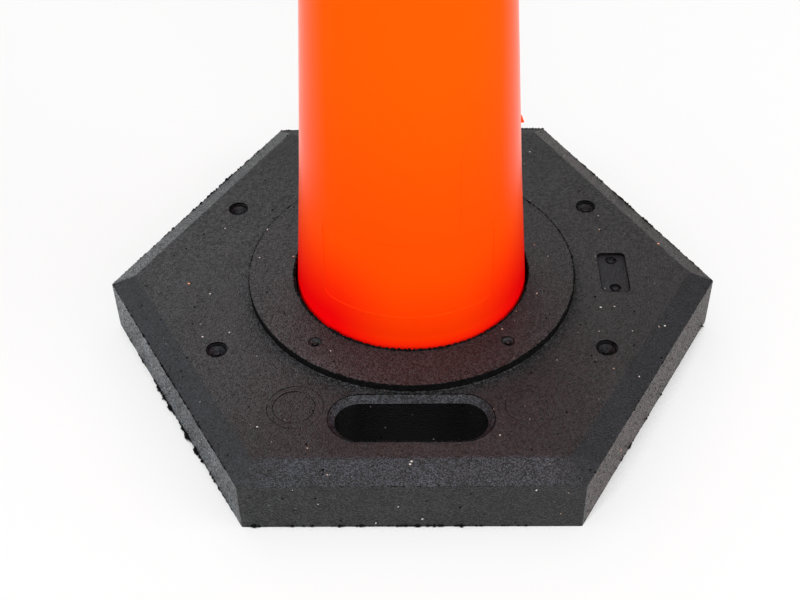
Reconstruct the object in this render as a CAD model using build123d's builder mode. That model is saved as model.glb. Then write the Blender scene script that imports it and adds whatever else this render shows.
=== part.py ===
from build123d import *
import math
import os

# A channelizer post with its ballast: a hollow tapered post stands on its own foot flange, and a heavy
# hexagonal rubber base is dropped over it from above. Millimetres, +Z up, origin on the floor at the
# post's axis. The hexagon's corners lie on X, and its flat sides face front (-Y) and back (+Y).

# Rubber base
base_side = 254.0  # side of the hexagon, which is also its centre to a corner
base_wall_height = 46.8  # floor to the foot of the sloped shoulder
shoulder_run = 18.6
shoulder_drop = 9.8
corner_radius = 1.2  # upright corners
shoulder_corner_radius = 2.5  # the same corners at the top of the shoulder
shoulder_top_radius = 4.0  # blend into the top face
shoulder_foot_radius = 0.8

# Raised ring round the post's hole
ring_radius = 135.6
ring_rise = 7.1
ring_edge_radius = 0.8
bore_clearance = 2.2  # hole wall to post, at every height
bore_edge_chamfer = 0.6

# Recess underneath, which takes the post's flange, or the ring of the base below in a stack
recess_depth = 9.0
nest_clearance = 1.5

# Hand slots, one at the front and one at the back
slot_length = 116.0
slot_width = 37.5
slot_chamfer = 5.0
slot_ring_gap = 2.4  # ring to the rim of the slot

# Sinks left by the mould's button-head screws: a dome, with the print of the hexagon socket standing in it
large_head_radius = 8.7  # the large heads also have a collar
large_collar_sink = 1.6
large_dome_radius = 7.7
large_dome_foot = 3.8
large_head_sink = 6.0
large_socket_flats = 5.0
large_socket_rise = 2.0
large_head_reach = 154.2  # along X
large_head_row = 88.6  # along Y
small_head_radius = 5.3
small_dome_foot = 2.4
small_head_sink = 3.0
small_socket_flats = 3.4
small_socket_rise = 1.4
small_head_angle = 40.8  # away from front and back, on the middle of the ring
socket_draft = 10.0  # degrees

# Sunk plate in the right corner, held in the mould by two small screws
plate_reach = 169.2
plate_row = 0.8
plate_width = 23.4
plate_length = 48.6
plate_corner_radius = 4.0
plate_sink = 2.2
plate_screw_spacing = 34.4
plate_screw_radius = 4.8
plate_screw_foot = 4.2
plate_screw_sink = 2.4
plate_socket_flats = 4.6
plate_socket_rise = 1.4

# Post, a straight taper down from its neck, and a little steeper near its foot
post_foot_radius = 97.6  # the straight taper carried down to the floor
flare_height = 165.0
flare_spread = 1.7  # what the steeper part adds at the floor
neck_radius = 37.0
neck_height = 975.0
post_wall = 3.0
flange_rim_clearance = 7.0  # flange's rim to the wall of the recess
flange_edge_radius = 2.0
foot_fillet = 1.6
seat_clearance = 0.3  # flange to the roof of the recess

# Handle across the post's top
handle_length = 150.0
handle_radius = 18.0
handle_end_radius = 12.0
handle_root_length = 84.0  # where the neck runs out along the handle
neck_rise = 74.0  # neck to the axis of the handle
neck_blend_radius = 8.0

# Sunk panel on the front of the post
panel_low = 94.0
panel_flare_gap = 3.2  # panel to the upper end of the flare
panel_width = 130.4
panel_corner_radius = 6.0  # its two lower corners
panel_sink = 0.4
panel_turn = -1.7  # degrees

# Wedge on the right of the post, flat underneath
wedge_angle = 8.0  # behind the X axis
wedge_level = 204.5
wedge_rise = 7.0
wedge_depth = 3.2
wedge_width = 9.0

# Reflective bands, each in its own shallow seat
band_height = 101.6
band_gap = 38.1
band_neck_gap = 25.0  # top band to the neck
band_thickness = 0.5
band_seat_depth = 0.7
glue_line = 0.05
band_names = ("top_orange_band", "upper_white_band", "lower_orange_band", "lower_white_band")

# Derived sizes
base_apothem = base_side * math.cos(math.radians(30))
base_height = base_wall_height + shoulder_drop
ring_top = base_height + ring_rise
post_taper = (post_foot_radius - neck_radius) / neck_height
flange_height = recess_depth - seat_clearance
recess_radius = ring_radius + nest_clearance
flange_radius = recess_radius - flange_rim_clearance
slot_reach = ring_radius + slot_ring_gap + slot_chamfer + slot_width / 2
panel_high = flare_height - panel_flare_gap
handle_height = neck_height + neck_rise
band_top = neck_height - band_neck_gap
band_lows = [band_top - band_height - i * (band_height + band_gap) for i in range(len(band_names))]


def post_radius(z):
    flare = flare_spread * max(0, 1 - z / flare_height)
    return post_foot_radius - post_taper * z + flare


bore_top_radius = post_radius(ring_top) + bore_clearance
ring_middle = (ring_radius + bore_top_radius) / 2
small_head_reach = ring_middle * math.sin(math.radians(small_head_angle))
small_head_row = ring_middle * math.cos(math.radians(small_head_angle))
large_head_places = [(sx * large_head_reach, sy * large_head_row) for sx in (-1, 1) for sy in (-1, 1)]
small_head_places = [(sx * small_head_reach, sy * small_head_row) for sx in (-1, 1) for sy in (-1, 1)]
plate_screw_places = [(plate_reach, plate_row + sy * plate_screw_spacing / 2) for sy in (-1, 1)]
standing = (Align.CENTER, Align.CENTER, Align.MIN)
hanging = (Align.CENTER, Align.CENTER, Align.MAX)

os.makedirs("parts", exist_ok=True)


with BuildPart() as rubber_base:
    # Hexagonal block with a sloped shoulder
    with BuildSketch() as footprint:
        RegularPolygon(base_side, 6)
        fillet(footprint.vertices(), corner_radius)
    extrude(amount=base_wall_height)
    with BuildSketch(Plane.XY.offset(base_wall_height)) as shoulder_foot:
        RegularPolygon(base_side, 6)
        fillet(shoulder_foot.vertices(), corner_radius)
    with BuildSketch(Plane.XY.offset(base_height)) as shoulder_top:
        RegularPolygon(base_apothem - shoulder_run, 6, major_radius=False)
        fillet(shoulder_top.vertices(), shoulder_corner_radius)
    loft(ruled=True)
    shoulder_edges = rubber_base.edges().filter_by_position(Axis.Z, base_wall_height, base_wall_height)
    fillet(shoulder_edges, shoulder_foot_radius)
    fillet(rubber_base.faces().sort_by(Axis.Z)[-1].edges(), shoulder_top_radius)

    # Raised ring, and the tapered hole that the post stands in
    with BuildSketch(Plane.XY.offset(base_height)):
        Circle(ring_radius)
    extrude(amount=ring_rise)
    fillet(rubber_base.faces().sort_by(Axis.Z)[-1].edges(), ring_edge_radius)
    Cone(
        post_radius(0) + bore_clearance,
        bore_top_radius,
        ring_top,
        align=standing,
        mode=Mode.SUBTRACT,
    )
    bore_rim = rubber_base.faces().sort_by(Axis.Z)[-1].edges().sort_by(SortBy.RADIUS)[0]
    chamfer(bore_rim, bore_edge_chamfer)
    Cylinder(recess_radius, recess_depth, align=standing, mode=Mode.SUBTRACT)

    # Hand slots, straight through, with a chamfered rim
    with BuildSketch(Plane.XY.offset(base_height)):
        with GridLocations(0, 2 * slot_reach, 1, 2):
            SlotOverall(slot_length, slot_width)
    extrude(amount=-base_height, mode=Mode.SUBTRACT)
    chamfer(rubber_base.edges(Select.LAST).group_by(Axis.Z)[-1], slot_chamfer)

    # Sunk plate
    with BuildSketch(Plane.XY.offset(base_height)):
        with Locations((plate_reach, plate_row)):
            RectangleRounded(plate_width, plate_length, plate_corner_radius)
    extrude(amount=-plate_sink, mode=Mode.SUBTRACT)

    # Prints of the mould's screws
    with BuildSketch(Plane.XY.offset(base_height)):
        with Locations(*large_head_places):
            Circle(large_head_radius)
    extrude(amount=-large_collar_sink, mode=Mode.SUBTRACT)
    large_dome = (large_dome_radius, large_dome_foot, large_head_sink - large_collar_sink)
    large_socket = (large_socket_flats, large_socket_rise)
    small_dome = (small_head_radius, small_dome_foot, small_head_sink)
    small_socket = (small_socket_flats, small_socket_rise)
    plate_dome = (plate_screw_radius, plate_screw_foot, plate_screw_sink)
    plate_socket = (plate_socket_flats, plate_socket_rise)
    for places, level, (radius, foot, sink), (flats, rise) in (
        (large_head_places, base_height - large_collar_sink, large_dome, large_socket),
        (small_head_places, ring_top, small_dome, small_socket),
        (plate_screw_places, base_height - plate_sink, plate_dome, plate_socket),
    ):
        with Locations(*[(x, y, level) for x, y in places]):
            Cone(foot, radius, sink, align=hanging, mode=Mode.SUBTRACT)
        with BuildSketch(Plane.XY.offset(level - sink)):
            with Locations(*places):
                RegularPolygon(flats / 2, 6, major_radius=False)
        extrude(amount=rise, taper=socket_draft)

rubber_base.part.label = "rubber_base"
export_step(rubber_base.part, "parts/rubber_base.step")


# The block that the front panel is cut with: a rectangle, hollowed to the panel's floor
with BuildPart() as panel_cutter:
    with BuildSketch(Plane.XZ) as panel_outline:
        with Locations((0, (panel_low + panel_high) / 2)):
            Rectangle(panel_width, panel_high - panel_low)
        fillet(panel_outline.vertices().group_by(Axis.Z)[0], panel_corner_radius)
    extrude(amount=post_radius(0))
    Cone(
        post_radius(0) - panel_sink,
        post_radius(flare_height) - panel_sink,
        flare_height,
        align=standing,
        mode=Mode.SUBTRACT,
    )


with BuildPart() as post:
    # Outside: flange and taper
    with BuildSketch(Plane.XZ) as outside:
        with BuildLine():
            Polyline(
                (0, 0),
                (flange_radius, 0),
                (flange_radius, flange_height),
                (post_radius(flange_height), flange_height),
                (post_radius(flare_height), flare_height),
                (neck_radius, neck_height),
                (0, neck_height),
                close=True,
            )
        make_face()
        by_height = outside.vertices().sort_by(Axis.Z)
        rim_corner = by_height.filter_by_position(Axis.X, flange_radius, flange_radius).sort_by(Axis.Z)[-1]
        fillet(rim_corner, flange_edge_radius)
        root_reach = post_radius(flange_height)
        root_corner = outside.vertices().filter_by_position(Axis.X, root_reach, root_reach)
        fillet(root_corner, foot_fillet)
    revolve(axis=Axis.Z)

    # Neck, spreading into a handle that lies along X
    with BuildSketch(Plane.XY.offset(neck_height)):
        Circle(neck_radius)
    with BuildSketch(Plane.XY.offset(handle_height)):
        Ellipse(handle_root_length / 2, handle_radius)
    loft()
    with BuildSketch(Plane.YZ) as grip:
        with Locations((0, handle_height)):
            Circle(handle_radius)
    extrude(amount=handle_length / 2, both=True)
    grip_ends = post.edges().filter_by(GeomType.CIRCLE).group_by(Axis.Z)[-1]
    fillet(grip_ends, handle_end_radius)
    # the lowest of these edges is the neck's seam, the others run round the handle's root
    handle_root = post.edges().filter_by(GeomType.BSPLINE).sort_by(Axis.Z)[1:]
    fillet(handle_root, neck_blend_radius)

    # Inside: one open hollow from the floor to the handle
    with BuildSketch(Plane.XZ):
        with BuildLine():
            Polyline(
                (0, 0),
                (flange_radius - post_wall, 0),
                (flange_radius - post_wall, flange_height - post_wall),
                (post_radius(flange_height - post_wall) - post_wall, flange_height - post_wall),
                (post_radius(flare_height) - post_wall, flare_height),
                (neck_radius - post_wall, neck_height),
                (0, neck_height),
                close=True,
            )
        make_face()
    revolve(axis=Axis.Z, mode=Mode.SUBTRACT)
    with BuildSketch(Plane.XY.offset(neck_height)):
        Circle(neck_radius - post_wall)
    with BuildSketch(Plane.XY.offset(handle_height)):
        Ellipse(handle_root_length / 2 - post_wall, handle_radius - post_wall)
    loft(mode=Mode.SUBTRACT)
    with BuildSketch(Plane.YZ):
        with Locations((0, handle_height)):
            Circle(handle_radius - post_wall)
    extrude(amount=handle_length / 2 - handle_end_radius, both=True, mode=Mode.SUBTRACT)

    # Seats of the reflective bands
    for low in band_lows:
        high = low + band_height
        with BuildSketch(Plane.XZ):
            with BuildLine():
                Polyline(
                    (post_radius(low) - band_seat_depth, low),
                    (post_radius(low) + band_seat_depth, low),
                    (post_radius(high) + band_seat_depth, high),
                    (post_radius(high) - band_seat_depth, high),
                    close=True,
                )
            make_face()
        revolve(axis=Axis.Z, mode=Mode.SUBTRACT)

    # Front panel, and the small wedge on the right
    add(panel_cutter.part.rotate(Axis.Z, panel_turn), mode=Mode.SUBTRACT)
    wedge_side = Vector(math.cos(math.radians(wedge_angle)), math.sin(math.radians(wedge_angle)), 0)
    wedge_plane = Plane(origin=(0, 0, 0), x_dir=wedge_side, z_dir=wedge_side.cross(Vector(0, 0, 1)))
    with BuildSketch(wedge_plane):
        with BuildLine():
            Polyline(
                (post_radius(wedge_level) - post_wall / 2, wedge_level),
                (post_radius(wedge_level) + wedge_depth, wedge_level),
                (post_radius(wedge_level + wedge_rise) - post_wall / 2, wedge_level + wedge_rise),
                close=True,
            )
        make_face()
    extrude(amount=wedge_width / 2, both=True)

post.part.label = "post"
export_step(post.part, "parts/post.step")


for name, low in zip(band_names, band_lows):
    high = low + band_height
    inner = glue_line - band_seat_depth
    with BuildPart() as band:
        with BuildSketch(Plane.XZ):
            with BuildLine():
                Polyline(
                    (post_radius(low) + inner, low + glue_line),
                    (post_radius(low) + inner + band_thickness, low + glue_line),
                    (post_radius(high) + inner + band_thickness, high - glue_line),
                    (post_radius(high) + inner, high - glue_line),
                    close=True,
                )
            make_face()
        revolve(axis=Axis.Z)
    band.part.label = name
    export_step(band.part, f"parts/{name}.step")
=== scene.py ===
import math
import bmesh
import bpy
from mathutils import Matrix, Vector


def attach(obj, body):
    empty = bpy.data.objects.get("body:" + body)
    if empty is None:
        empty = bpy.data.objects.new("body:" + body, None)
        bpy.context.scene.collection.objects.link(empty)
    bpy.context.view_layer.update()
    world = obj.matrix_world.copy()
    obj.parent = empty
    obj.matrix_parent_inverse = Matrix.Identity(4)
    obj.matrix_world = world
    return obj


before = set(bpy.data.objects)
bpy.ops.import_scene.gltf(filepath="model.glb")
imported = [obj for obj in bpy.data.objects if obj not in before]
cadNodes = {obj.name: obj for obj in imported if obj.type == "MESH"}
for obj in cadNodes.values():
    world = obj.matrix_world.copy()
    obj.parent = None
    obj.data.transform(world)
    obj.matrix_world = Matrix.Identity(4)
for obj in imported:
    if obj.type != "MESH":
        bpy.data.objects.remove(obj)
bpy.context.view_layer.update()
scene = bpy.context.scene
scene.view_settings.view_transform = "Standard"
print("frame loaded:", sorted(cadNodes))


# small helpers for node trees

def put(tree, kind, **values):
    node = tree.nodes.new(kind)
    for key, value in values.items():
        setattr(node, key, value)
    return node


def feed(tree, socket, source):
    # a socket takes another socket's link, or a plain value
    if isinstance(source, bpy.types.NodeSocket):
        tree.links.new(source, socket)
    else:
        socket.default_value = source


def calc(tree, operation, first, second=None, third=None, clamp=False):
    node = put(tree, "ShaderNodeMath", operation=operation, use_clamp=clamp)
    for socket, source in zip(node.inputs, (first, second, third)):
        if source is not None:
            feed(tree, socket, source)
    return node.outputs[0]


def mathNode(operation):
    return lambda tree, *sources: calc(tree, operation, *sources)


times, timesPlus, minus = mathNode("MULTIPLY"), mathNode("MULTIPLY_ADD"), mathNode("SUBTRACT")
over, under = mathNode("GREATER_THAN"), mathNode("LESS_THAN")
larger, absolute = mathNode("MAXIMUM"), mathNode("ABSOLUTE")


def hypot(tree, first, second):
    return calc(tree, "SQRT", timesPlus(tree, first, first, times(tree, second, second)))


def remap(tree, value, low, high, newLow=0.0, newHigh=1.0, smooth=False):
    node = put(tree, "ShaderNodeMapRange", interpolation_type="SMOOTHSTEP" if smooth else "LINEAR")
    for socket, source in zip(node.inputs[:5], (value, low, high, newLow, newHigh)):
        feed(tree, socket, source)
    return node.outputs[0]


def wire(tree, kind, sources, **settings):
    # adds a node and feeds its inputs, by name or by number
    node = put(tree, kind, **settings)
    for key, source in sources.items():
        feed(tree, node.inputs[key], source)
    return node.outputs


def mixColor(tree, factor, first, second, blend="MIX"):
    sources = {0: factor, 6: first, 7: second}
    return wire(tree, "ShaderNodeMix", sources, data_type="RGBA", blend_type=blend)[2]


def tinted(tree, mask, color, tint):
    return mixColor(tree, mask, color, mixColor(tree, 1.0, color, tint, "MULTIPLY"))


def toward(tree, mask, value):
    # 1 where the mask is 0, and the value where it is 1
    return remap(tree, mask, 0.0, 1.0, 1.0, value)


def noise(tree, vector, scale, detail=3.0, roughness=0.6):
    sources = {"Vector": vector, "Scale": scale, "Detail": detail, "Roughness": roughness}
    return wire(tree, "ShaderNodeTexNoise", sources)["Fac"]


def cells(tree, vector, scale):
    return wire(tree, "ShaderNodeTexVoronoi", {"Vector": vector, "Scale": scale})


def addSocket(tree, name, kind, way="INPUT"):
    return tree.interface.new_socket(name, in_out=way, socket_type="NodeSocket" + kind)


def shaderGroup(name, outputs, **numbers):
    # takes a vector and the named numbers, and gives numbers
    group = bpy.data.node_groups.new(name, "ShaderNodeTree")
    addSocket(group, "Vector", "Vector")
    for key, value in numbers.items():
        addSocket(group, key, "Float").default_value = value
    for key in outputs:
        addSocket(group, key, "Float", "OUTPUT")
    return group, put(group, "NodeGroupInput").outputs, put(group, "NodeGroupOutput").inputs


def useGroup(tree, group, **values):
    return wire(tree, "ShaderNodeGroup", values, node_tree=group)


def newMaterial(name, **constants):
    material = bpy.data.materials.new(name)
    material.use_nodes = True
    tree = material.node_tree
    shader = tree.nodes["Principled BSDF"]
    for key, value in constants.items():
        shader.inputs[key].default_value = value
    place = put(tree, "ShaderNodeTexCoord").outputs["Object"]
    return material, tree, shader.inputs, place


def setBump(tree, shader, height, distance, strength=1.0):
    sources = {"Strength": strength, "Distance": distance, "Height": height}
    feed(tree, shader["Normal"], wire(tree, "ShaderNodeBump", sources)["Normal"])


def wear(obj, material):
    obj.data.materials.clear()
    obj.data.materials.append(material)


def splitXyz(tree, vector):
    return wire(tree, "ShaderNodeSeparateXYZ", {0: vector})


def scaled(tree, vector, factor):
    return wire(tree, "ShaderNodeVectorMath", {0: vector, "Scale": factor}, operation="SCALE")[0]


def band(tree, value, low, high, soft):
    # 1 between low and high, with soft ends
    rise = remap(tree, value, low - soft, low)
    fall = remap(tree, value, high, high + soft, 1.0, 0.0)
    return times(tree, rise, fall)


# helpers for geometry trees

def shapeTree(name, *numbers):
    # takes a mesh, the named numbers, a seed and a material
    tree = bpy.data.node_groups.new(name, "GeometryNodeTree")
    tree.is_modifier = True
    kinds = [("Geometry", "Geometry"), *((number, "Float") for number in numbers)]
    for socketName, kind in (*kinds, ("Seed", "Int"), ("Material", "Material")):
        addSocket(tree, socketName, kind)
    addSocket(tree, "Geometry", "Geometry", "OUTPUT")
    return tree, put(tree, "NodeGroupInput").outputs, put(tree, "NodeGroupOutput").inputs[0]


def chance(tree, low, high, seed):
    return wire(tree, "FunctionNodeRandomValue", {2: low, 3: high, "Seed": seed}, data_type="FLOAT")[1]


def chanceVector(tree, low, high, seed):
    return wire(tree, "FunctionNodeRandomValue", {0: low, 1: high, "Seed": seed}, data_type="FLOAT_VECTOR")[0]


def geo(tree, kind, sources, **settings):
    return wire(tree, "GeometryNode" + kind, sources, **settings)[0]


def attribute(tree, name):
    return geo(tree, "InputNamedAttribute", {"Name": name}, data_type="FLOAT")


leastLevel = 0.0003  # nothing added reaches below the floor


def endTree(tree, shape, material, result):
    shape = geo(tree, "RealizeInstances", {"Geometry": shape})
    x, y, z = splitXyz(tree, put(tree, "GeometryNodeInputPosition").outputs[0])
    place = wire(tree, "ShaderNodeCombineXYZ", {0: x, 1: y, 2: larger(tree, z, leastLevel)})[0]
    shape = geo(tree, "SetPosition", {"Geometry": shape, "Position": place})
    shape = geo(tree, "SetMaterial", {"Geometry": shape, "Material": material})
    feed(tree, result, shape)


def newObject(name, data):
    obj = bpy.data.objects.new(name, data)
    scene.collection.objects.link(obj)
    return obj


def addPiece(name, mesh):
    piece = newObject(name, mesh)
    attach(piece, "base")
    print(name, "has", len(mesh.polygons), "faces")


def bakePiece(name, mesh, tree, values):
    # runs a tree on a mesh, keeps the result as a plain mesh that rides on the base
    source = newObject(name + "Source", mesh)
    nodes = source.modifiers.new("nodes", "NODES")
    nodes.node_group = tree
    for socket in tree.interface.items_tree:
        if socket.in_out == "INPUT" and socket.name in values:
            nodes[socket.identifier] = values[socket.name]
    ready = source.evaluated_get(bpy.context.evaluated_depsgraph_get())
    baked = bpy.data.meshes.new_from_object(ready)
    source.modifiers.remove(nodes)
    bpy.data.objects.remove(source)
    addPiece(name, baked)


# grain of pressed rubber crumb: a tone round 0.5, a height and a mask of pits

grainLook = {
    "crumb": 0.0010,
    "lumps": (0.42, 3.0, 0.65),  # scale, detail and roughness
    "patches": (0.03, 4.0),
    "pitScale": 0.20,
    "pitSize": (0.42, 0.75, 0.0, 0.13),  # sparse, at most a millimetre or so across
    "pitSoft": 0.05,
    "tones": (1.05, 0.65, 0.5),  # shares of the crumbs, the lumps and the patches
    "lumpHeight": 0.45,
    "crumbHeight": -0.7,
    "pitHeight": -1.2,
}


def makeCrumbGrain():
    look = grainLook
    group, given, out = shaderGroup("crumbGrain", ["Tone", "Height", "Pits"], Crumb=look["crumb"])
    place = scaled(group, given["Vector"], calc(group, "DIVIDE", 1.0, given["Crumb"]))
    crumbs = cells(group, place, 1.0)
    shade = splitXyz(group, crumbs["Color"])[0]
    lumps = noise(group, place, *look["lumps"])
    patches = noise(group, place, *look["patches"])
    pitCells = cells(group, place, look["pitScale"])
    pitDepth = minus(group, remap(group, pitCells["Color"], *look["pitSize"]), pitCells["Distance"])
    pits = remap(group, pitDepth, 0.0, look["pitSoft"], smooth=True)
    tone = 0.5
    for part, share in zip((shade, lumps, patches), look["tones"]):
        tone = timesPlus(group, minus(group, part, 0.5), share, tone)
    bulge = times(group, lumps, look["lumpHeight"])
    bulge = timesPlus(group, crumbs["Distance"], look["crumbHeight"], bulge)
    feed(group, out["Tone"], tone)
    feed(group, out["Height"], timesPlus(group, pits, look["pitHeight"], bulge))
    feed(group, out["Pits"], pits)
    return group


crumbGrain = makeCrumbGrain()

rubberLook = {
    "leftTint": (0.0272, 0.0290, 0.0320, 1),
    "rightTint": (0.0306, 0.0283, 0.0308, 1),
    "slopeTint": (0.86, 0.92, 1.06, 1),  # front slope and the rims of the slots
    "sideSlopeShade": (0.46, 0.48, 0.62, 1),  # painted shade on the slopes beside the front one
    # near-black colour of the crumb's pits: painted shade in these dents of the bump
    "pitShade": (0.0006, 0.0006, 0.0006, 1),
    "paintedSideLight": (-0.22, 0.22, 1.35, 0.71),  # painted light: the left of the base is lighter than its right, as more light falls from the left
    "paintedSideLightFront": 1.12,  # even along the front slope
    "rough": (0.50, 0.32),
    "relief": 0.0007,
    "uprightTilt": (0.25, 0.45),
    "topLevel": 0.0566,
    "topSoft": 0.0011,
    "edgeSoft": 0.0004,
    "wallLevel": 0.0468,
    "ringFoot": 0.1356,
    "footBand": (0.001, 0.002),  # beyond the foot of the ring
    "footSpread": 0.009,
    "slopeReach": 0.195,  # the slopes and walls along the sides lie farther out than this
    "slotReach": 0.16175,
    "slotHalfLength": 0.058,
    "slotRadius": 0.01875,
    "slotChamfer": 0.005,
    "rimSoft": 0.0005,
    "slotWall": 0.001,
    "frontEdge": -0.1988,  # where the coarse crumb of the front slope begins
    "frontSoft": 0.0006,
    "frontWall": -0.2160,
    "fade": (0.104, 0.122, 1.0, 0.45),  # the front slope is less coarse at its ends
    "fineCrumb": 0.0007,  # size of the crumb there
    "tintReach": 0.15,
    "sideReach": 0.1,  # left and right values meet within this
    "leftCorner": (-0.23, -0.14),
    "leftCornerLight": (3.00, 3.15, 3.10, 1),  # painted light on the slopes behind, from the left corner to the right one
    "backLeftLight": (1.14, 1.22, 1.20, 1),
    "backRightLight": (1.75, 1.34, 1.29, 1),
    "rearShade": (0.85, 0.81, 0.80, 1),  # painted shade on the one right behind the post
    "rearRough": 0.3,
    "dimFront": 0.29,  # painted shade: the front left of the top is a little darker
    "dimFrontX": (-0.05, 0.0),
    "dimFrontY": (-0.18, -0.13),
    "dimBack": 0.75,  # painted shade also darkens its back, less on the right
    "dimBackX": (-0.1, 0.15, 1.0, 0.75),
    "dimBackY": (0.05, 0.16),
    "smoothReach": 0.137,  # upright walls nearer the axis than this were pressed smooth
    "coarseGain": 1.45,
    "wallGain": (6.0, 0.9),  # left and right, as in the next two lines
    "wallRelief": (3.2, 1.5),
    "wallBlotch": (3.2, 1.5),  # patches of unequal gloss on the side walls
    # painted sheen on the side walls, seen at a slant, warmer on the right
    "leftWallSheen": (1.86, 1.98, 2.03, 1),
    "rightWallSheen": (1.90, 0.95, 0.80, 1),
    "sideGain": 0.1,
    "frontGain": 1.3,
    "ringGain": 0.35,
    "backGain": (-0.10, 0.08, 1.0, 0.55),  # the back is more even than the front
    "backSlopeGain": 0.7,
    "mottleNoise": (330.0, 3.0, 0.7),  # scale, detail and roughness
    "mottle": (-0.05, 0.10, 0.8, 4.2),  # from the front to the back
    "blotchNoise": (850.0, 3.0, 0.7),
    "toneLeast": 0.02,
    "pitRough": 0.3,
    "innerWallShade": 0.85,
    "smoothRough": 0.20,
    "smoothRelief": 0.70,
    "footShade": 0.85,
    "frontRelief": 0.45,
    "frontShade": 0.42,
}


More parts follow.
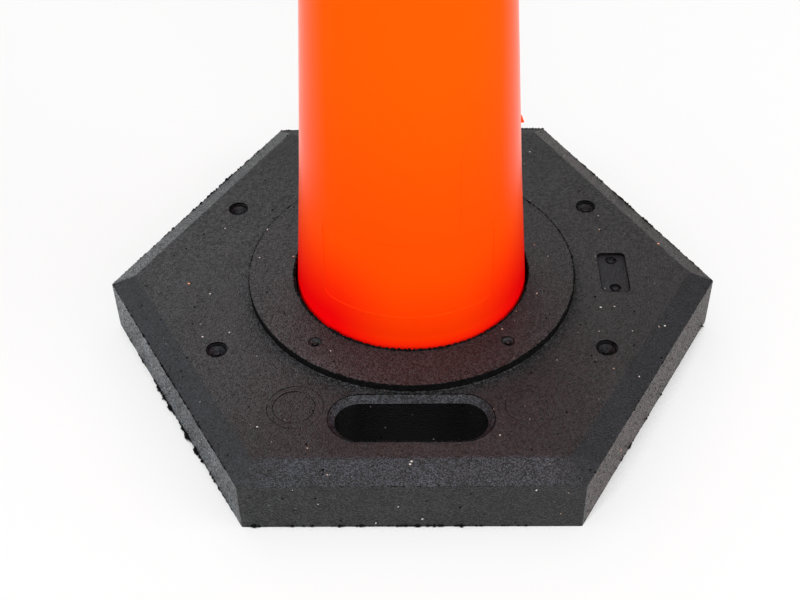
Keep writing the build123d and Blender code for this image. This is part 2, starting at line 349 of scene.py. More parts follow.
def makeRubber():
    material, tree, shader, place = newMaterial("crumbRubber", **{"Specular IOR Level": 0.33})
    look = rubberLook
    top, soft = look["topLevel"], look["edgeSoft"]
    grain = useGroup(tree, crumbGrain, Vector=place)
    x, y, z = splitXyz(tree, place)
    absX = absolute(tree, x)
    radial = hypot(tree, x, y)
    facing = splitXyz(tree, put(tree, "ShaderNodeTexCoord").outputs["Normal"])
    upright = remap(tree, absolute(tree, facing[2]), *look["uprightTilt"], 1.0, 0.0)
    onTop = remap(tree, z, top - look["topSoft"], top - soft)
    # how far a point lies outside the opening of its hand slot
    slotStraight = look["slotHalfLength"] - look["slotRadius"]
    pastEnd = larger(tree, minus(tree, absX, slotStraight), 0.0)
    pastSide = minus(tree, absolute(tree, y), look["slotReach"])
    slotOff = minus(tree, hypot(tree, pastEnd, pastSide), look["slotRadius"])
    # coarser crumb round the foot of the ring, on the front slope and on the slots' rims
    footFrom, footTo = (look["ringFoot"] + off for off in look["footBand"])
    skirt = times(tree, band(tree, radial, footFrom, footTo, look["footSpread"]), onTop)
    slopes = band(tree, z, look["wallLevel"], top - soft, soft)
    onFront = remap(tree, y, look["frontEdge"] - look["frontSoft"], look["frontEdge"], 1.0, 0.0)
    onFront = times(tree, onFront, remap(tree, absX, *look["fade"]))
    frontZone = times(tree, band(tree, z, look["wallLevel"], top + soft, soft), onFront)
    onRim = remap(tree, slotOff, look["slotChamfer"], look["slotChamfer"] + look["rimSoft"], 1.0, 0.0)
    onSlope = larger(tree, frontZone, times(tree, slopes, onRim))
    sideSlope = larger(tree, minus(tree, slopes, onSlope), 0.0)
    outside = over(tree, radial, look["slopeReach"])
    behind = times(tree, sideSlope, over(tree, y, 0.0))
    backSlope = times(tree, behind, outside)
    sideSlope = minus(tree, sideSlope, backSlope)
    sector = over(tree, y, times(tree, absX, math.sqrt(3)))
    rearSlope = times(tree, backSlope, sector)
    backSlope = minus(tree, backSlope, rearSlope)
    frontWall = times(tree, upright, under(tree, y, look["frontWall"]))
    sideWall = times(tree, minus(tree, upright, frontWall), outside)
    # how strongly the tone of the crumb varies
    reach = look["sideReach"]
    wallGain, wallRelief, wallBlotch = (
        remap(tree, x, -reach, reach, *look[key]) for key in ("wallGain", "wallRelief", "wallBlotch"))
    onRing = under(tree, radial, look["ringFoot"])
    gain = 1.0
    for mask, more in (
        (larger(tree, skirt, onSlope), look["coarseGain"]), (sideWall, wallGain),
        (frontWall, look["frontGain"]), (onRing, look["ringGain"]), (sideSlope, look["sideGain"]),
    ):
        gain = timesPlus(tree, mask, more, gain)
    gain = times(tree, gain, remap(tree, y, *look["backGain"]))
    gain = timesPlus(tree, backSlope, look["backSlopeGain"], gain)
    fine = useGroup(tree, crumbGrain, Vector=place, Crumb=look["fineCrumb"])["Tone"]
    tone = timesPlus(tree, frontZone, minus(tree, fine, grain["Tone"]), grain["Tone"])
    tone = timesPlus(tree, minus(tree, tone, 0.5), gain, 0.5)
    # soft mottling of the top, strongest at the back
    mottle = minus(tree, noise(tree, place, *look["mottleNoise"]), 0.5)
    mottle = times(tree, mottle, remap(tree, y, *look["mottle"]))
    tone = larger(tree, timesPlus(tree, mottle, onTop, tone), look["toneLeast"])
    # the walls of the ring, the slots and the hole were pressed smooth, and painted shade keeps them dark
    nearAxis = under(tree, radial, look["smoothReach"])
    inSlot = under(tree, absolute(tree, slotOff), look["slotWall"])
    smooth = times(tree, upright, larger(tree, nearAxis, inSlot))
    dark = larger(tree, grain["Pits"], times(tree, smooth, look["innerWallShade"]))
    # painted light: the top is made lighter on the left than on the right
    paintedSideLight = remap(tree, x, *look["paintedSideLight"])
    paintedSideLight = timesPlus(tree, frontZone, minus(tree, look["paintedSideLightFront"], paintedSideLight), paintedSideLight)
    toRight = remap(tree, x, -look["tintReach"], look["tintReach"])
    tint = mixColor(tree, toRight, look["leftTint"], look["rightTint"])
    color = mixColor(tree, 1.0, tint, times(tree, tone, paintedSideLight), "MULTIPLY")
    toRight = remap(tree, x, -reach, reach)
    fromCorner = remap(tree, x, *look["leftCorner"])
    backLight = mixColor(tree, fromCorner, look["leftCornerLight"], look["backLeftLight"])
    backLight = mixColor(tree, toRight, backLight, look["backRightLight"])
    wallSheen = mixColor(tree, toRight, look["leftWallSheen"], look["rightWallSheen"])
    # painted light and shade on the slopes and side walls, by the way they face; the front slope's tint is
    # the crumb's own
    for mask, tint in (
        (onSlope, look["slopeTint"]), (sideSlope, look["sideSlopeShade"]), (backSlope, backLight),
        (rearSlope, look["rearShade"]), (sideWall, wallSheen),
    ):
        color = tinted(tree, mask, color, tint)
    shade = times(tree, toward(tree, skirt, look["footShade"]), toward(tree, frontWall, look["frontShade"]))
    dimFront = times(
        tree, remap(tree, y, *look["dimFrontY"], 1.0, 0.0), remap(tree, x, *look["dimFrontX"], 1.0, 0.0))
    dimBack = times(tree, remap(tree, y, *look["dimBackY"]), remap(tree, x, *look["dimBackX"]))
    dim = timesPlus(tree, dimBack, look["dimBack"], times(tree, dimFront, look["dimFront"]))
    shade = times(tree, shade, minus(tree, 1.0, times(tree, dim, onTop)))
    color = mixColor(tree, 1.0, color, shade, "MULTIPLY")
    # painted shade: the pits and the smooth inner walls take a near-black colour
    feed(tree, shader["Base Color"], mixColor(tree, dark, color, look["pitShade"]))
    rough = remap(tree, tone, 0.0, 1.0, *look["rough"])
    rough = timesPlus(tree, grain["Pits"], look["pitRough"], rough)
    rough = timesPlus(tree, rearSlope, look["rearRough"], rough)
    blotch = minus(tree, noise(tree, place, *look["blotchNoise"]), 0.5)
    rough = timesPlus(tree, sideWall, times(tree, blotch, wallBlotch), rough)
    sleek = times(tree, smooth, minus(tree, look["smoothRough"], rough))
    feed(tree, shader["Roughness"], calc(tree, "ADD", rough, sleek, clamp=True))
    level = times(tree, grain["Height"], toward(tree, smooth, look["smoothRelief"]))
    level = times(tree, level, toward(tree, sideWall, wallRelief))
    level = times(tree, level, toward(tree, frontWall, look["frontRelief"]))
    setBump(tree, shader, level, look["relief"])
    return material


rubber = makeRubber()
wear(cadNodes["rubber_base"], rubber)

postLook = {
    "foot": (0.96, 0.034, 0.0005, 1),
    "middle": (0.98, 0.066, 0.0005, 1),
    "top": (1.0, 0.088, 0.0005, 1),
    "red": (0.96, 0.0012, 0.0025, 1),
    "pale": (1.0, 0.120, 0.0060, 1),
    "heights": (0.060, 0.140, 0.320),  # of those three colours
    "redShift": 0.013,
    "redHeights": (0.075, 0.150, 1.0, 0.0),
    "redAside": (0.22, 0.84),
    "haze": (0.3, 0.7, 0.29, 0.41),  # a faint unevenness, and the roughness it gives
    "hazeNoise": (18.0, 4.0),  # scale and detail
    "relief": 0.0004,
    "reliefNoise": (30.0, 2.0),
    "reliefShare": 0.3,
    "glossFrom": (-0.05, 0.05, 0.45, 0.53),  # from left to right
    "glossTo": 0.92,
    "glossHeights": (0.090, 0.210),
    "dragMark": (0.0371, 0.176, 0.222),  # across, lower and upper end
    "dragWidth": 0.0009,
    "dragSoft": 0.02,
    "dragShare": 0.35,
    "taper": 0.06215,  # loss of radius with height above the flare
    "taperFoot": 0.0976,
    "wedgeProud": 0.0006,
    "wedge": (0.17, 0.30, 0.001),  # lower and upper end, and how soft they are
    "lit": (0.062, 0.078, 0.13, 0.0),
    "litFrom": 0.060,
    "rimShade": (0.063, 0.072, 0.7, 0.0),  # painted shade: deeper red right above the hole
    "panelTurn": math.radians(-1.7),
    "panelHalfWidth": 0.0652,
    "panelLow": 0.094,
    "panelHigh": 0.1618,
    "panelCorner": 0.006,
    "panelLine": 0.0006,
    "highlightShare": 0.2,
    "shadowShare": 0.55,
}


def panelLines(tree, x, y, z):
    # thin lines on the panel's border: painted highlight on sides and foot, painted shade under its upper
    # edge
    look = postLook
    turn, corner = look["panelTurn"], look["panelCorner"]
    across = timesPlus(tree, x, math.cos(turn), times(tree, y, math.sin(turn)))
    aside = minus(tree, absolute(tree, across), look["panelHalfWidth"] - corner)
    below = minus(tree, look["panelLow"] + corner, z)
    outX = larger(tree, aside, 0.0)
    outZ = larger(tree, below, 0.0)
    inside = calc(tree, "MINIMUM", larger(tree, aside, below), 0.0)
    border = minus(tree, calc(tree, "ADD", hypot(tree, outX, outZ), inside), corner)
    front = under(tree, y, 0.0)
    low = remap(tree, absolute(tree, border), 0.0, look["panelLine"], 1.0, 0.0)
    low = times(tree, low, under(tree, z, look["panelHigh"]))
    edge = absolute(tree, minus(tree, z, look["panelHigh"]))
    high = remap(tree, edge, 0.0, look["panelLine"], 1.0, 0.0)
    high = times(tree, high, under(tree, border, 0.0))
    return times(tree, low, front), times(tree, high, front)


def makePost():
    shine = {"Specular IOR Level": 0.01, "Coat Roughness": 0.35, "Emission Strength": 1.0}
    material, tree, shader, place = newMaterial("orangePlastic", **shine)
    look = postLook
    x, y, z = splitXyz(tree, place)
    foot, middle, top = look["heights"]
    # painted shade: the colour darkens to red towards the foot, where the black base sends up little light
    low = remap(tree, z, foot, middle, smooth=True)
    high = remap(tree, z, middle, top, smooth=True)
    color = mixColor(tree, high, mixColor(tree, low, look["foot"], look["middle"]), look["top"])
    # painted shade: deeper red round the sides of the foot, more on the left
    radial = hypot(tree, x, y)
    offset = absolute(tree, minus(tree, x, look["redShift"]))
    aside = remap(tree, calc(tree, "DIVIDE", offset, radial), *look["redAside"], smooth=True)
    near = remap(tree, z, *look["redHeights"])
    color = mixColor(tree, times(tree, aside, near), color, look["red"])
    color = mixColor(tree, remap(tree, z, *look["rimShade"]), color, look["red"])
    highlightLine, shadowLine = panelLines(tree, x, y, z)
    color = mixColor(tree, times(tree, highlightLine, look["highlightShare"]), color, look["pale"])
    color = mixColor(tree, times(tree, shadowLine, look["shadowShare"]), color, look["foot"])
    # one faint drag mark at the front
    across, lower, upper = look["dragMark"]
    off = absolute(tree, minus(tree, x, across))
    drag = remap(tree, off, 0.0, look["dragWidth"], look["dragShare"], 0.0)
    drag = times(tree, drag, band(tree, z, lower, upper, look["dragSoft"]))
    drag = times(tree, drag, under(tree, y, 0.0))
    color = mixColor(tree, drag, color, look["foot"])
    feed(tree, shader["Base Color"], color)
    # painted light: a glow keeps the plastic bright where it goes down into the hole
    lit = remap(tree, z, *look["lit"], smooth=True)
    lit = times(tree, lit, over(tree, z, look["litFrom"]))
    feed(tree, shader["Emission Color"], mixColor(tree, 1.0, color, lit, "MULTIPLY"))
    haze = noise(tree, place, *look["hazeNoise"])
    feed(tree, shader["Roughness"], remap(tree, haze, *look["haze"]))
    # gloss that shows only where the wall is seen at a slant, and not at the scuffed foot
    slant = put(tree, "ShaderNodeLayerWeight").outputs["Facing"]
    gloss = remap(tree, slant, remap(tree, x, *look["glossFrom"]), look["glossTo"])
    gloss = times(tree, gloss, remap(tree, z, *look["glossHeights"]))
    # the small wedge stands out from the taper and has no gloss
    taper = timesPlus(tree, z, look["taper"], radial)
    proud = over(tree, taper, look["taperFoot"] + look["wedgeProud"])
    proud = times(tree, proud, band(tree, z, *look["wedge"]))
    gloss = times(tree, gloss, minus(tree, 1.0, proud))
    feed(tree, shader["Coat Weight"], gloss)
    height = noise(tree, place, *look["reliefNoise"])
    setBump(tree, shader, height, look["relief"], look["reliefShare"])
    return material


postPlastic = makePost()
wear(cadNodes["post"], postPlastic)

sheetingLook = {
    "white": (0.78, 0.79, 0.80, 1),
    "orange": (0.90, 0.13, 0.01, 1),
    "cellsRound": 72,
    "cellRise": 0.0047,
    "seam": (0.42, 0.48),
    "seamShade": 0.78,
    "roughScale": 40.0,
    "rough": (0.3, 0.7, 0.22, 0.34),
    "relief": 0.0002,
    "reliefShare": 0.5,
}


def makeHoneycomb():
    # seams between six-sided cells laid round the axis: 1 on a seam
    group, given, out = shaderGroup("honeycomb", ["Seam"])
    x, y, z = splitXyz(group, given["Vector"])
    turn = calc(group, "ARCTAN2", y, x)
    across = times(group, turn, sheetingLook["cellsRound"] / (2 * math.pi))
    up = calc(group, "DIVIDE", z, sheetingLook["cellRise"] * math.sqrt(3))

    def offMiddle(value, shift):
        part = calc(group, "FRACT", calc(group, "ADD", value, shift))
        return absolute(group, minus(group, part, 0.5))

    def nearest(shift):
        dx, dy = offMiddle(across, shift), offMiddle(up, shift)
        slope = timesPlus(group, dx, 0.5, times(group, dy, 1.5))
        return larger(group, dx, slope)

    # two grids of cells, the second moved by half a cell
    middle = calc(group, "MINIMUM", nearest(0.0), nearest(0.5))
    feed(group, out["Seam"], remap(group, middle, *sheetingLook["seam"]))
    return group


honeycomb = makeHoneycomb()


def makeSheeting(name, colour):
    material, tree, shader, place = newMaterial(name, **{"Specular IOR Level": 0.6, "Coat Weight": 0.3})
    seam = useGroup(tree, honeycomb, Vector=place)["Seam"]
    look = sheetingLook
    darker = tuple(look["seamShade"] * c for c in colour[:3]) + (1,)
    feed(tree, shader["Base Color"], mixColor(tree, seam, colour, darker))
    feed(tree, shader["Roughness"], remap(tree, noise(tree, place, look["roughScale"]), *look["rough"]))
    setBump(tree, shader, seam, look["relief"], look["reliefShare"])
    return material


whiteSheeting = makeSheeting("whiteSheeting", sheetingLook["white"])
orangeSheeting = makeSheeting("orangeSheeting", sheetingLook["orange"])
for name, node in cadNodes.items():
    if name.endswith("white_band"):
        wear(node, whiteSheeting)
    elif name.endswith("orange_band"):
        wear(node, orangeSheeting)
print("CAD nodes dressed")


# flash of rubber along the edges of the base: a ragged bead with single crumbs stuck to it,
# and thinner lines of it where the parts of the mould met; their near-black colour is partly painted shade

flashLook = {
    # axis to the middle of the bead at a corner, and its level: bottom edge, edge of the slope
    "low": (0.2533, 0.0012),
    "high": (0.2536, 0.0467),
    # most that it stands out along the bottom edge and along the edge of the slope, and its least share
    "sides": {
        "frontLeft": (180, 0.0018, 0.0013, 0.50),
        "front": (240, 0.0023, 0.0005, 0.35),
        "frontRight": (300, 0.0018, 0.0006, 0.10),
        "backRight": (0, 0.0016, 0.0019, 0.40),
        "back": (60, 0.0016, 0.0007, 0.60),
        "backLeft": (120, 0.0022, 0.0019, 0.40),
    },
    # thick clumps: how far along, half length as a share of the side, and reach
    "clumps": {
        "frontLeft low": (
            (0.06, 0.06, 0.0010), (0.21, 0.05, 0.0014), (0.40, 0.09, 0.0028),
            (0.58, 0.06, 0.0026), (0.68, 0.06, 0.0026), (0.87, 0.13, 0.0012),
        ),
        "front low": ((0.05, 0.05, 0.0018), (0.12, 0.03, 0.0016)),
        "backLeft low": ((0.35, 0.08, 0.0020), (0.70, 0.06, 0.0020)),
    },
    # radius, level, reach, least share, where it is heaviest, the share of its reach on the far side,
    # and how far its middle lies towards the heavy side
    "circles": {
        "ringRim": (0.1354, 0.0634, 0.0012, 0.60, 30, 0.60, 0.0),
        "holeRim": (0.0976, 0.0637, 0.0018, 0.70, 215, 0.60, 0.0004),
    },
    # crumbs of the rubber's own colour: round the foot of the ring, and along the edge of the back slope
    "ringFoot": (0.1361, 0.0567, 0.0015, 0.45),
    "backEdge": (0.2536, 0.0470, 0.0018, 0.60),
    "circleSteps": 160,
    "sideSteps": 64,
    "sideTurn": 60,  # degrees from corner to corner
    "endShare": 0.25,  # of the reach, at the ends of a side
    "tuft": (0.2490, -0.0085, 0.001),  # loose bits at the right corner
    "tuftCoil": (7, 0.0004, 1.9),  # points, and growth and turn from one to the next
    "tuftReach": (0.0008, 0.5),
}
lineLook = {
    "topLevel": 0.0566,
    "ringLevel": 0.0637,
    "slotReach": 0.16175,
    "slotStraight": 0.03925,
    "slotRim": (0.02385, 0.00065, 0.55),  # radius of its ends, reach and least share
    "plugRadius": 0.1741,  # axis to the middle of each pair of plug marks
    "plugRings": ((0.0160, 0.00060, 0.40, -0.0019), (0.0216, 0.00042, 0.35, -0.0008)),
    "plugShares": ((-1, 1.0), (1, 0.6)),  # the front pair, fainter on the right
    "plugHeavy": 140,  # most visible at the upper left
    "plugLight": 0.55,
    "plugTurn": 60,  # degrees from the X axis, left and right
    "plugSteps": 72,
    "headSteps": 36,
    "arcSteps": 8,  # of a quarter turn
    "largeHead": (0.1542, 0.0886, 0.0083, 0.00040, 0.40),  # place, radius, reach and least share
    "smallHead": (0.0760, 0.0880, 0.0052, 0.00032, 0.40),
    "plate": (0.1692, 0.0008, 0.0117, 0.0243, 0.004),  # place, half lengths and corner
    "plateLine": (0.00045, 0.35),
}
raggedLook = {
    "clumpNoise": (3.0, 0.5),  # detail and roughness
    "clumped": (0.40, 0.62),  # noise over which a bead swells from its least share to all of it
    "thickest": 1.15,
    "driftScale": 420.0,
    "driftDetail": 2.0,
    "sides": 5,
    "fullTurn": (6.3, 6.3, 6.3),
    "bulk": ((0.5, 0.4, 0.4), (1.5, 1.2, 1.0)),
    "crumbSeed": 41,
}
beadNames = ("Step", "Clump Scale", "Uneven", "Wander", "Crumbs", "Seed")
beadLook = {
    "edge_flash": (0.0011, 120.0, 0.85, 1.0, 0.8, 7),
    "foot_crumbs": (0.0011, 160.0, 0.6, 1.0, 0.9, 7),
    "mould_and_shade_lines": (0.0012, 60.0, 0.5, 0.6, 0.0, 31),
}


class PathMesh:
    # gathers open and closed paths with a reach and a least share at each point
    def __init__(self):
        self.points, self.edges, self.reaches, self.leasts = [], [], [], []

    def add(self, path, reach, least, closed=False):
        first = len(self.points)
        for i, point in enumerate(path):
            self.points.append(point)
            self.reaches.append(reach(i / max(1, len(path) - 1)) if callable(reach) else reach)
            self.leasts.append(least)
        self.edges.extend((i, i + 1) for i in range(first, len(self.points) - 1))
        if closed:
            self.edges.append((len(self.points) - 1, first))

    def mesh(self, name):
        mesh = bpy.data.meshes.new(name)
        mesh.from_pydata(self.points, self.edges, [])
        for key, values in (("reach", self.reaches), ("least", self.leasts)):
            mesh.attributes.new(key, "FLOAT", "POINT").data.foreach_set("value", values)
        return mesh


def circlePath(middle, radius, level, count):
    turns = (2 * math.pi * i / count for i in range(count))
    return [(middle[0] + radius * math.cos(a), middle[1] + radius * math.sin(a), level) for a in turns]


def roundedPath(middle, straightX, straightY, radius, level):
    # a rectangle with round ends or corners, from arcs round its four inner corners
    path = []
    count = lineLook["arcSteps"]
    for i, (sx, sy) in enumerate(((1, 1), (-1, 1), (-1, -1), (1, -1))):
        for j in range(count + 1):
            a = math.pi / 2 * (i + j / count)
            x = middle[0] + sx * straightX + radius * math.cos(a)
            path.append((x, middle[1] + sy * straightY + radius * math.sin(a), level))
    return path


def plateBorder(inset, level):
    x, y, halfX, halfY, corner = lineLook["plate"]
    return roundedPath((x, y), halfX - corner, halfY - corner, corner - inset, level)


def around(reach, light, heavyTurn):
    # reach that falls to a share of itself on the far side of a circle
    heavy = math.radians(heavyTurn)
    return lambda t: reach * (1 + light + (1 - light) * math.cos(2 * math.pi * t - heavy)) / 2


def atCorner(turn, corner, level):
    return Vector((corner * math.cos(math.radians(turn)), corner * math.sin(math.radians(turn)), level))


def sidePath(turn, corner, level):
    count = flashLook["sideSteps"]
    begin = atCorner(turn, corner, level)
    end = atCorner(turn + flashLook["sideTurn"], corner, level)
    return [begin.lerp(end, i / count) for i in range(count + 1)]


def flashPaths():
    look = flashLook
    paths = PathMesh()
    end = look["endShare"]

    def swelling(most, clumps):
        def reach(t):
            lumps = (size * max(0, 1 - ((t - middle) / half) ** 2) for middle, half, size in clumps)
            return most * (end + (1 - end) * math.sin(math.pi * t)) + sum(lumps)
        return reach

    for side, (turn, low, high, least) in look["sides"].items():
        for edge, most in (("low", low), ("high", high)):
            lumps = look["clumps"].get(side + " " + edge, ())
            paths.add(sidePath(turn, *look[edge]), swelling(most, lumps), least)
    for radius, level, reach, least, heavyTurn, light, shift in look["circles"].values():
        middle = atCorner(heavyTurn, shift, level)
        uneven = around(reach, light, heavyTurn)
        paths.add(circlePath(middle, radius, level, look["circleSteps"]), uneven, least, closed=True)
    x, y, z = look["tuft"]
    count, growth, turn = look["tuftCoil"]
    coil = [(growth * i, turn * i) for i in range(count)]
    tuft = [(x + r * math.cos(a), y + r * math.sin(a), z + r) for r, a in coil]
    paths.add(tuft, *look["tuftReach"])
    return paths.mesh("flashPaths")


def footPaths():
    look = flashLook
    paths = PathMesh()
    radius, level, reach, least = look["ringFoot"]
    paths.add(circlePath((0, 0), radius, level, look["circleSteps"]), reach, least, closed=True)
    corner, level, reach, least = look["backEdge"]
    paths.add(sidePath(look["sides"]["back"][0], corner, level), reach, least)
    return paths.mesh("footPaths")


signs = [(sx, sy) for sx in (-1, 1) for sy in (-1, 1)]


def linePaths():
    look = lineLook
    top = look["topLevel"]
    paths = PathMesh()
    radius, reach, least = look["slotRim"]
    for sy in (-1, 1):
        rim = roundedPath((0, sy * look["slotReach"]), look["slotStraight"], 0, radius, top)
        paths.add(rim, reach, least, closed=True)
    plugTurn = math.radians(look["plugTurn"])
    plugX, plugY = look["plugRadius"] * math.cos(plugTurn), look["plugRadius"] * math.sin(plugTurn)
    for sx, share in look["plugShares"]:
        for radius, reach, least, shift in look["plugRings"]:
            middle = (sx * plugX + (shift if sx < 0 else 0), -plugY)
            uneven = around(share * reach, look["plugLight"], look["plugHeavy"])
            paths.add(circlePath(middle, radius, top, look["plugSteps"]), uneven, least, closed=True)
    for sx, sy in signs:
        for key, level in (("largeHead", top), ("smallHead", look["ringLevel"])):
            x, y, radius, reach, least = look[key]
            head = circlePath((sx * x, sy * y), radius, level, look["headSteps"])
            paths.add(head, reach, least, closed=True)
    paths.add(plateBorder(0, top), *look["plateLine"], closed=True)
    return paths.mesh("linePaths")


def makeRaggedBead():
    look = raggedLook
    tree, given, result = shapeTree("raggedBead", *beadNames[:-1])
    curve = geo(tree, "MeshToCurve", {"Mesh": given["Geometry"]})
    resampled = {"Curve": curve, "Length": given["Step"]}
    curve = geo(tree, "ResampleCurve", resampled, mode="LENGTH")
    reach, least = attribute(tree, "reach"), attribute(tree, "least")
    place = put(tree, "GeometryNodeInputPosition").outputs[0]
    clumps = noise(tree, place, given["Clump Scale"], *look["clumpNoise"])
    share = remap(tree, clumps, *look["clumped"], least, 1.0)
    uneven = chance(tree, minus(tree, 1.0, given["Uneven"]), look["thickest"], given["Seed"])
    size = times(tree, reach, times(tree, share, uneven))
    # the line wanders a little, more where the bead is thick
    spots = {"Vector": place, "Scale": look["driftScale"], "Detail": look["driftDetail"]}
    drift = wire(tree, "ShaderNodeTexNoise", spots)["Color"]
    drift = wire(tree, "ShaderNodeVectorMath", {0: drift, 1: (0.5, 0.5, 0.5)}, operation="SUBTRACT")[0]
    drift = scaled(tree, drift, times(tree, size, given["Wander"]))
    line = geo(tree, "SetPosition", {"Geometry": curve, "Offset": drift})
    profile = geo(tree, "CurvePrimitiveCircle", {"Resolution": look["sides"], "Radius": 1.0})
    bead = geo(tree, "CurveToMesh", {
        "Curve": line, "Profile Curve": profile, "Scale": size, "Fill Caps": True,
    })
    # single crumbs, turned and squeezed at random
    crumb = geo(tree, "MeshIcoSphere", {"Radius": 1.0, "Subdivisions": 1})
    turn = chanceVector(tree, (0, 0, 0), look["fullTurn"], given["Seed"])
    bulk = scaled(tree, chanceVector(tree, *look["bulk"], given["Seed"]), size)
    kept = under(tree, chance(tree, 0.0, 1.0, look["crumbSeed"]), given["Crumbs"])
    crumbs = geo(tree, "InstanceOnPoints", {
        "Points": line, "Selection": kept, "Instance": crumb, "Rotation": turn, "Scale": bulk,
    })
    both = put(tree, "GeometryNodeJoinGeometry")
    feed(tree, both.inputs[0], bead)
    feed(tree, both.inputs[0], crumbs)
    endTree(tree, both.outputs[0], given["Material"], result)
    return tree


flashRubberLook = {
    "deep": (0.001, 0.001, 0.001, 1),
    "worn": (0.006, 0.006, 0.0065, 1),
    "rough": (1.0, 0.7),
    "relief": 0.0004,
}


def makeFlashRubber():
    look = flashRubberLook
    # near-black rubber for the flash, the dark crumbs and the mould lines, where it is partly painted shade,
    # and painted shade on the sheets in the prints and round the ring
    material, tree, shader, place = newMaterial("darkRubberAndShade", **{"Specular IOR Level": 0.07})
    grain = useGroup(tree, crumbGrain, Vector=place)
    tone = remap(tree, grain["Tone"], 0.0, 1.0)
    feed(tree, shader["Base Color"], mixColor(tree, tone, look["deep"], look["worn"]))
    feed(tree, shader["Roughness"], remap(tree, grain["Tone"], 0.0, 1.0, *look["rough"]))
    setBump(tree, shader, grain["Height"], look["relief"])
    return material


darkRubberAndShade = makeFlashRubber()
raggedBead = makeRaggedBead()
for name, mesh, material in (
    ("edge_flash", flashPaths(), darkRubberAndShade), ("foot_crumbs", footPaths(), rubber),
    ("mould_and_shade_lines", linePaths(), darkRubberAndShade),
):
    bakePiece(name, mesh, raggedBead, dict(zip(beadNames, beadLook[name]), Material=material))


# dark sheets of painted shade in the screws' prints, on the plate's border and round the ring's wall

shadeSkinLook = {
    "gap": 0.00006,
    "ring": (0.1356, 0.0569, 0.0629),
    # rings of each print from its rim inwards, as radius and level; None leaves a ledge bare
    "large": ((0.0087, 0.0566), (0.0087, 0.0550), None, (0.0077, 0.0550), (0.0066, 0.0538)),
    "largeFront": ((0.0050, 0.0520), (0.0038, 0.0506), (0.0030, 0.0506)),  # only its front half
    "small": ((0.0053, 0.0637), (0.0047, 0.0631), None, (0.0026, 0.0609), (0.0021, 0.0607)),
    "screw": ((0.0048, 0.0544), (0.0045, 0.0532), None, (0.0030, 0.0520), (0.0025, 0.0520)),
    "printSteps": 40,
    "screwRow": 0.0172,
    "plateLevels": (0.0566, 0.0544),
}


class SkinMesh:
    # strips of quads between closed rings of points
    def __init__(self):
        self.points, self.faces = [], []

    def add(self, upper, lower, share=1.0):
        # share: how much of the way round it is kept, up to the last point
        first, count = len(self.points), len(upper)
        self.points.extend(upper)
        self.points.extend(lower)
        for i in range(round(count * (1 - share)), count):
            j = (i + 1) % count
            self.faces.append((first + i, first + j, first + count + j, first + count + i))


def makeShadeSkin():
    look = shadeSkinLook
    gap, steps = look["gap"], look["printSteps"]
    skin = SkinMesh()
    radius, *levels = look["ring"]
    skin.add(*(circlePath((0, 0), radius + gap, level, flashLook["circleSteps"]) for level in levels))
    plateX, plateY = lineLook["plate"][:2]
    prints = []
    for sx, sy in signs:
        for key, head in (("large", "largeHead"), ("largeFront", "largeHead"), ("small", "smallHead")):
            prints.append((key, (sx * lineLook[head][0], sy * lineLook[head][1])))
    prints.extend(("screw", (plateX, plateY + sy * look["screwRow"])) for sy in (-1, 1))
    for key, middle in prints:
        rings = look[key]
        share = 0.5 if key == "largeFront" else 1.0
        for upper, lower in zip(rings, rings[1:]):
            if upper and lower:
                circles = (circlePath(middle, r - gap, z + gap, steps) for r, z in (upper, lower))
                skin.add(*circles, share)
    skin.add(*(plateBorder(gap, level + gap) for level in look["plateLevels"]))
    mesh = bpy.data.meshes.new("shadeSkin")
    mesh.from_pydata(skin.points, [], skin.faces)
    mesh.materials.append(darkRubberAndShade)
    addPiece("shade_skin", mesh)


makeShadeSkin()


# specks on the rubber: pale and tan flakes from the crumb, and dark crumbs pressed in flat

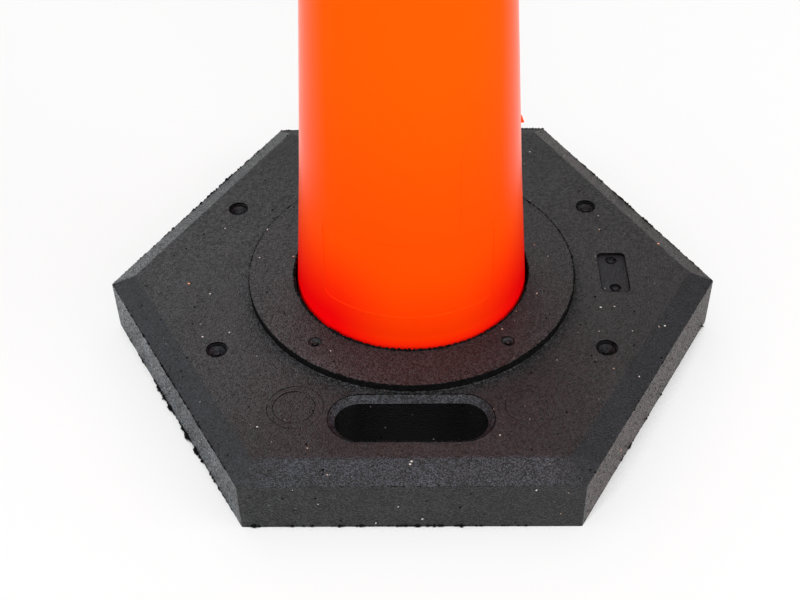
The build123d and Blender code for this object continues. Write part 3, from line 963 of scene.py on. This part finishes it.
speckNames = ("Density", "Smallest", "Largest", "Flatness", "Stretch", "Palest", "Seed")
speckLook = {
    "pale_flakes": (2000.0, 0.00016, 0.00080, 0.35, 1.5, 1.0, 11),
    "dark_crumbs": (2600.0, 0.00042, 0.0011, 0.40, 1.5, 1.0, 23),
    # the five walls beside and behind the front one are mottled
    "wall_flakes": (9000.0, 0.00030, 0.00080, 0.30, 2.4, 0.5, 37),
    "wall_crumbs": (8000.0, 0.00030, 0.00090, 0.30, 2.0, 1.0, 43),
    "lowest": -0.2,  # least upward tilt of a face that carries specks
    "wallTilt": 0.3,
    "wallReach": 0.215,
    "frontTurn": -0.9,  # walls that face the front more than this carry none
    "fewLarge": 3.5,  # many small ones, few large ones
    "leastStretch": 0.9,
    "fullSpin": 6.283,
    "seeds": (3, 5, 17),  # of stretch, spin and tint
    "roughScale": 900.0,
    "rough": (0.3, 0.7, 0.45, 0.75),
    "placedShape": (1.2, 0.9, 0.5, 1),
    # share of the flakes up to here, and their colour
    "tints": (
        (0.00, (0.16, 0.15, 0.15, 1)),
        (0.55, (0.55, 0.51, 0.48, 1)),
        (0.84, (0.45, 0.30, 0.23, 1)),
        (0.96, (0.90, 0.36, 0.18, 1)),
    ),
    # the most visible flakes: place, radius and share in the tints
    "placed": (
        ((-0.1860, -0.0107, 0.0566), 0.0010, 0.98),
        ((0.0003, -0.2036, 0.0556), 0.0009, 0.70),
        ((-0.0008, -0.2054, 0.0546), 0.0009, 0.70),
        ((-0.1149, -0.1705, 0.0566), 0.0008, 0.70),
        ((-0.0761, -0.1916, 0.0566), 0.0007, 0.90),
        ((0.1632, 0.0565, 0.0566), 0.0008, 0.90),
        ((0.1541, -0.0422, 0.0566), 0.0009, 0.70),
        ((0.2034, -0.0632, 0.0556), 0.0008, 0.70),
        ((-0.1668, -0.0235, 0.0566), 0.0008, 0.70),
        ((-0.1671, -0.0743, 0.0566), 0.0008, 0.70),
        ((-0.1632, 0.0612, 0.0566), 0.0007, 0.70),
        ((-0.0996, 0.0150, 0.0637), 0.0009, 0.90),
        ((-0.1283, 0.0137, 0.0637), 0.0007, 0.70),
        ((0.2117, 0.0372, 0.0563), 0.0009, 0.98),
    ),
}


def mergedCopy(node, carries):
    # marks the faces that carry specks
    mesh = node.data.copy()
    work = bmesh.new()
    work.from_mesh(mesh)
    bmesh.ops.remove_doubles(work, verts=work.verts, dist=0.000005)
    work.to_mesh(mesh)
    work.free()
    marks = [float(carries(face.center, face.normal)) for face in mesh.polygons]
    mesh.attributes.new("carries", "FLOAT", "FACE").data.foreach_set("value", marks)
    return mesh


def openFace(middle, normal):
    return normal.z > speckLook["lowest"]


def wallFace(middle, normal):
    outer = middle.xy.length > speckLook["wallReach"]
    return outer and abs(normal.z) < speckLook["wallTilt"] and normal.y > speckLook["frontTurn"]


def makeScatter():
    look = speckLook
    stretchSeed, spinSeed, tintSeed = look["seeds"]
    tree, given, result = shapeTree("scatteredSpecks", *speckNames[:-1])
    spots = wire(tree, "GeometryNodeDistributePointsOnFaces", {
        "Mesh": given["Geometry"], "Selection": over(tree, attribute(tree, "carries"), 0.5),
        "Density": given["Density"], "Seed": given["Seed"],
    }, distribute_method="RANDOM")
    pick = calc(tree, "POWER", chance(tree, 0.0, 1.0, given["Seed"]), look["fewLarge"])
    size = remap(tree, pick, 0.0, 1.0, given["Smallest"], given["Largest"])
    long = times(tree, size, chance(tree, look["leastStretch"], given["Stretch"], stretchSeed))
    thin = times(tree, size, given["Flatness"])
    bulk = wire(tree, "ShaderNodeCombineXYZ", {0: long, 1: size, 2: thin})[0]
    spin = wire(tree, "ShaderNodeCombineXYZ", {2: chance(tree, 0.0, look["fullSpin"], spinSeed)})[0]
    turned = {"Rotation": spots["Rotation"], "Rotate By": spin}
    turn = wire(tree, "FunctionNodeRotateRotation", turned, rotation_space="LOCAL")[0]
    flake = geo(tree, "MeshIcoSphere", {"Radius": 1.0, "Subdivisions": 1})
    flakes = geo(tree, "InstanceOnPoints", {
        "Points": spots["Points"], "Instance": flake, "Rotation": turn, "Scale": bulk,
    })
    flakes = geo(tree, "StoreNamedAttribute", {
        "Geometry": flakes, "Name": "tint", "Value": chance(tree, 0.0, given["Palest"], tintSeed),
    }, data_type="FLOAT", domain="INSTANCE")
    endTree(tree, flakes, given["Material"], result)
    return tree


def makeFlakeMaterial():
    material, tree, shader, place = newMaterial("paleFlakes")
    tint = put(tree, "ShaderNodeAttribute", attribute_name="tint").outputs["Fac"]
    ramp = put(tree, "ShaderNodeValToRGB")
    ramp.color_ramp.interpolation = "CONSTANT"
    stops = ramp.color_ramp.elements
    for i, (start, color) in enumerate(speckLook["tints"]):
        stop = stops[i] if i < len(stops) else stops.new(start)
        stop.position = start
        stop.color = color
    feed(tree, ramp.inputs[0], tint)
    feed(tree, shader["Base Color"], ramp.outputs[0])
    uneven = noise(tree, place, speckLook["roughScale"])
    feed(tree, shader["Roughness"], remap(tree, uneven, *speckLook["rough"]))
    return material


def placeFlakes(material):
    work = bmesh.new()
    tints = []
    for place, radius, tint in speckLook["placed"]:
        shape = Matrix.Translation(place) @ Matrix.Diagonal(speckLook["placedShape"])
        made = bmesh.ops.create_icosphere(work, subdivisions=1, radius=radius, matrix=shape)
        tints.extend([tint] * len(made["verts"]))
    mesh = bpy.data.meshes.new("placedFlakes")
    work.to_mesh(mesh)
    work.free()
    mesh.attributes.new("tint", "FLOAT", "POINT").data.foreach_set("value", tints)
    mesh.materials.append(material)
    addPiece("placed_flakes", mesh)


scatter = makeScatter()
flakeMaterial = makeFlakeMaterial()
for name, carries, material in (
    ("pale_flakes", openFace, flakeMaterial), ("dark_crumbs", openFace, darkRubberAndShade),
    ("wall_flakes", wallFace, flakeMaterial), ("wall_crumbs", wallFace, darkRubberAndShade),
):
    values = dict(zip(speckNames, speckLook[name]), Material=material)
    bakePiece(name, mergedCopy(cadNodes["rubber_base"], carries), scatter, values)
placeFlakes(flakeMaterial)
print("rubber detailed")


# stage: floor, lamps and camera

stageLook = {
    "floorSize": 14.0,
    "floorColor": (0.78, 0.78, 0.78, 1),
    "floorUnder": (0.25, 0.25, 0.25, 1),
    "floorShown": 0.975,  # what the camera and reflections see of it, before its shadow
    "floorOwnLight": 0.64,
    "shadeReach": 0.12,  # where the rubber closes it in, it only has the light that falls there
    "shade": (0.40, 0.47),
    "worldHeight": (0.2, 0.9, 0.90, 0.86),  # from the horizon up
    "worldSide": (-0.35, 0.35, 1.68, 0.62),  # more from the left than from the right
    "worldFlank": (0.25, 0.65, 1.0, 0.52),  # least from the two sides
    "worldShown": 0.86,
    "lampAim": (0, 0, 0.15),
    "lamps": {  # place, size, power
        "overhead": ((0.0, 0.4, 2.8), 3.0, 18.0),
        "front": ((0.3, -2.6, 1.9), 2.0, 31.0),
        "left": ((-2.4, -0.9, 1.5), 2.0, 13.0),
        "right": ((2.4, -0.9, 1.5), 2.0, 36.0),
    },
}


def makeFloor():
    look = stageLook
    half = look["floorSize"] / 2
    mesh = bpy.data.meshes.new("floor")
    corners = [(-half, -half, 0), (half, -half, 0), (half, half, 0), (-half, half, 0)]
    mesh.from_pydata(corners, [], [(0, 1, 2, 3)])
    floor = newObject("floor", mesh)
    material = bpy.data.materials.new("paleFloor")
    material.use_nodes = True
    tree = material.node_tree
    tree.nodes.clear()
    glow = wire(tree, "ShaderNodeEmission", {"Strength": look["floorShown"]})
    path = put(tree, "ShaderNodeLightPath").outputs
    seen = larger(tree, path["Is Glossy Ray"], path["Is Transmission Ray"])
    seen = larger(tree, path["Is Camera Ray"], seen)
    shade = wire(tree, "ShaderNodeAmbientOcclusion", {"Distance": look["shadeReach"]}, samples=8)
    clear = remap(tree, shade["AO"], *look["shade"])
    ground = mixColor(tree, clear, look["floorUnder"], look["floorColor"])
    matte = wire(tree, "ShaderNodeBsdfDiffuse", {"Color": ground})
    share = times(tree, times(tree, seen, clear), look["floorOwnLight"])
    mix = wire(tree, "ShaderNodeMixShader", {0: share, 1: matte[0], 2: glow[0]})
    wire(tree, "ShaderNodeOutputMaterial", {"Surface": mix[0]})
    mesh.materials.append(material)


def makeLamp(name, place, size, power):
    lamp = bpy.data.lights.new(name, "AREA")
    lamp.shape = "SQUARE"
    lamp.size = size
    lamp.energy = power
    obj = newObject(name, lamp)
    obj.location = place
    obj.rotation_euler = (Vector(stageLook["lampAim"]) - Vector(place)).to_track_quat("-Z", "Y").to_euler()


def makeWorld():
    world = bpy.data.worlds.new("studio")
    world.use_nodes = True
    tree = world.node_tree
    back = tree.nodes["Background"]
    back.inputs["Color"].default_value = (1, 1, 1, 1)
    x, y, z = splitXyz(tree, put(tree, "ShaderNodeTexCoord").outputs["Generated"])
    height = remap(tree, z, *stageLook["worldHeight"])
    side = remap(tree, x, *stageLook["worldSide"])
    flank = remap(tree, absolute(tree, x), *stageLook["worldFlank"])
    glow = times(tree, times(tree, height, side), flank)
    # the camera itself sees an even white past the floor's edge
    seen = put(tree, "ShaderNodeLightPath").outputs["Is Camera Ray"]
    feed(tree, back.inputs["Strength"], remap(tree, seen, 0.0, 1.0, glow, stageLook["worldShown"]))
    scene.world = world


cameraLook = {
    "place": (0.0070, -0.8266, 0.7939),
    "yaw": 1.18,  # degrees
    "pitch": 42.86,
    "roll": -1.12,
    "focalPixels": 1319.2,
    "photoWidth": 800,
    "sensor": 36.0,
    "nearest": 0.01,
}


def makeCamera():
    look = cameraLook
    yaw, pitch, roll = (math.radians(look[key]) for key in ("yaw", "pitch", "roll"))
    right = Vector((math.cos(yaw), math.sin(yaw), 0))
    ahead = Vector((-math.sin(yaw) * math.cos(pitch), math.cos(yaw) * math.cos(pitch), -math.sin(pitch)))
    up = right.cross(ahead)
    across = right * math.cos(roll) + up * math.sin(roll)
    upright = up * math.cos(roll) - right * math.sin(roll)
    lens = bpy.data.cameras.new("camera")
    lens.sensor_fit = "HORIZONTAL"
    lens.sensor_width = look["sensor"]
    lens.lens = look["focalPixels"] / look["photoWidth"] * look["sensor"]
    lens.clip_start = look["nearest"]
    camera = newObject("camera", lens)
    turned = Matrix((across, upright, -ahead)).transposed().to_4x4()
    camera.matrix_world = Matrix.Translation(look["place"]) @ turned
    scene.camera = camera


makeFloor()
makeWorld()
for name, values in stageLook["lamps"].items():
    makeLamp(name, *values)
makeCamera()
print("stage set")
